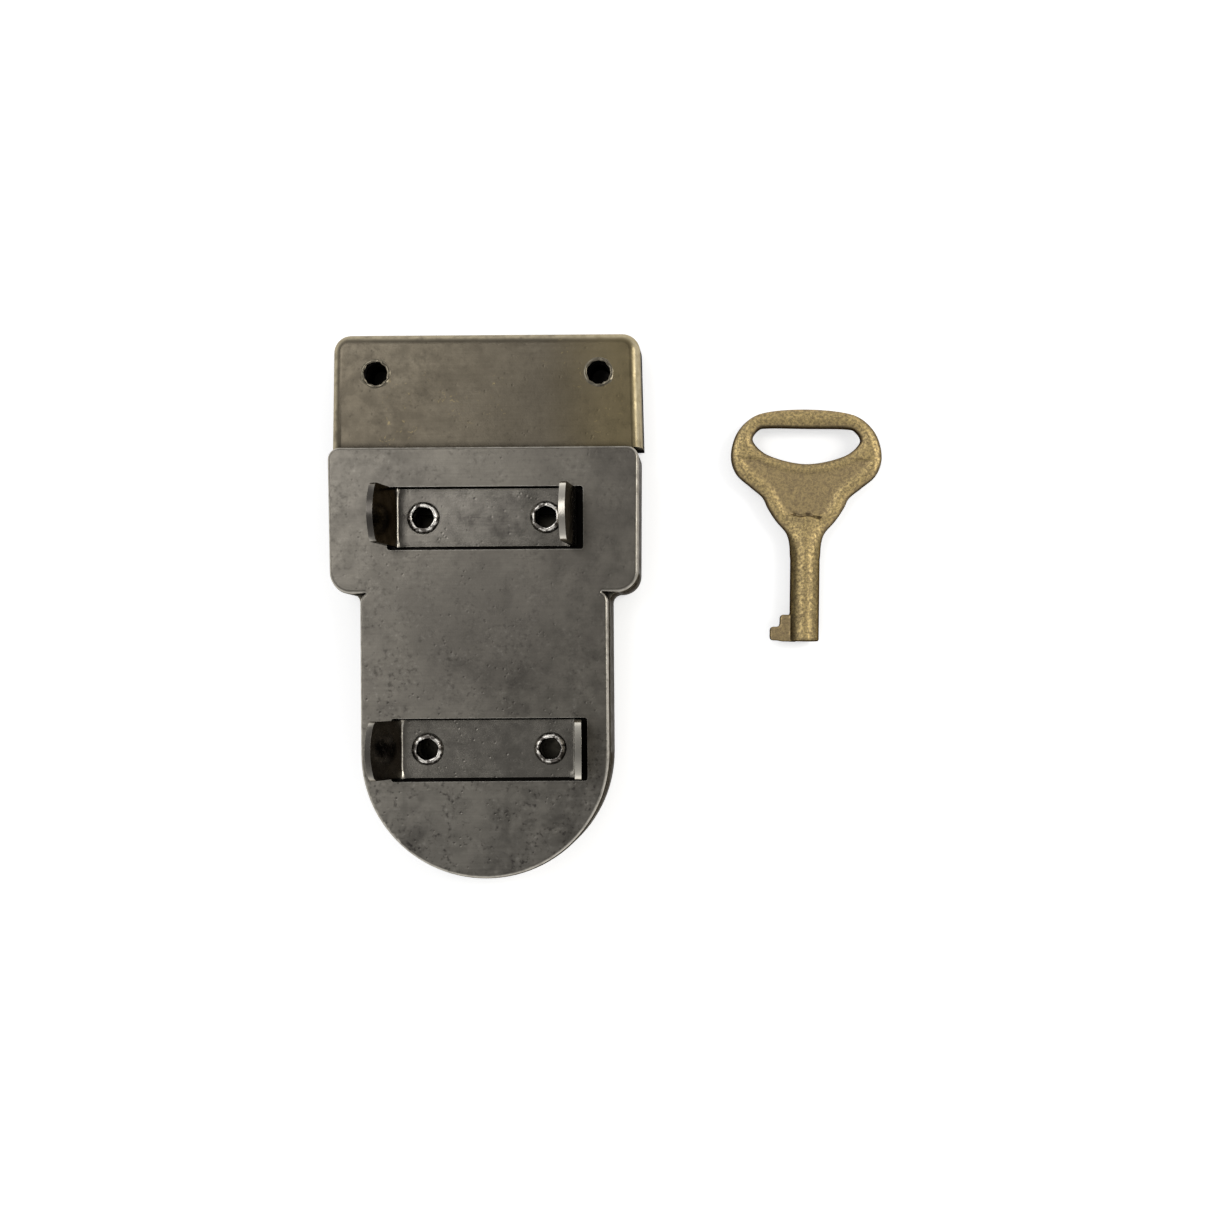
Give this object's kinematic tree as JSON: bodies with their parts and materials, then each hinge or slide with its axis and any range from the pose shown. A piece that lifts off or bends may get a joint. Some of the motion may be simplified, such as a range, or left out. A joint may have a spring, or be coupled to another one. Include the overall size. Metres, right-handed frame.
{
  "type": "bag tuck lock with flap hasp, staple tongue and key",
  "caption": "Bag tuck lock lying face down: flap clasp with forked tongue, T-shaped lock case with backing plate and fold-over prong brackets, and a stepped-bit barrel key.",
  "frame": {"origin": "on the lock case's front face, at the centre of its half-round lower end; the lock lies on that face", "axes": "+Z out of the back of the lock, +Y from the half-round end to the flap clasp, +X towards the key"},
  "size_m": [0.0719, 0.0706, 0.0144],
  "materials": {
    "gunmetal_grey": "antique gunmetal plate, satin, patchy",
    "gunmetal_olive": "antique gunmetal plate, olive-brown cast, worn edges",
    "nickel_rivet": "dark nickel, bright rolled rims",
    "plain_steel": "zinc-plated pressed steel",
    "spring_steel": "blued spring steel",
    "antique_brass": "antique brass plate, mottled olive"
  },
  "bodies": {
    "lock_body": {"case_front_shell": "gunmetal_olive", "case_base_plate": "plain_steel", "back_plate": "gunmetal_grey", "upper_prong_bracket": "gunmetal_grey", "lower_prong_bracket": "gunmetal_grey", "upper_eyelets": "nickel_rivet", "lower_eyelets": "nickel_rivet", "bolt_guide_studs": "plain_steel", "bolt_spring": "spring_steel", "spring_anchor": "plain_steel", "key_post": "plain_steel", "keyhole_bush": "nickel_rivet", "ward_ring": "plain_steel"},
    "flap_hasp": {"flap_back_shell": "gunmetal_olive", "flap_front_shell": "gunmetal_olive", "flap_screw_posts": "plain_steel", "staple_tongue": "plain_steel", "tongue_spacers": "plain_steel", "tongue_rivets": "plain_steel"},
    "bolt": {"bolt": "plain_steel"},
    "key": {"key": "antique_brass"}
  },
  "joints": [
    {"name": "flap_pull", "type": "slide", "parent": "lock_body", "child": "flap_hasp", "axis": [0, 1, 0], "range_m": [0, 0.026]},
    {"name": "bolt_throw", "type": "slide", "parent": "lock_body", "child": "bolt", "axis": [1, 0, 0], "range_m": [0, 0.0032]},
    {"name": "key_lift", "type": "slide", "parent": "lock_body", "child": "key", "axis": [0, 0, 1], "range_m": [0, 0.02]}
  ]
}
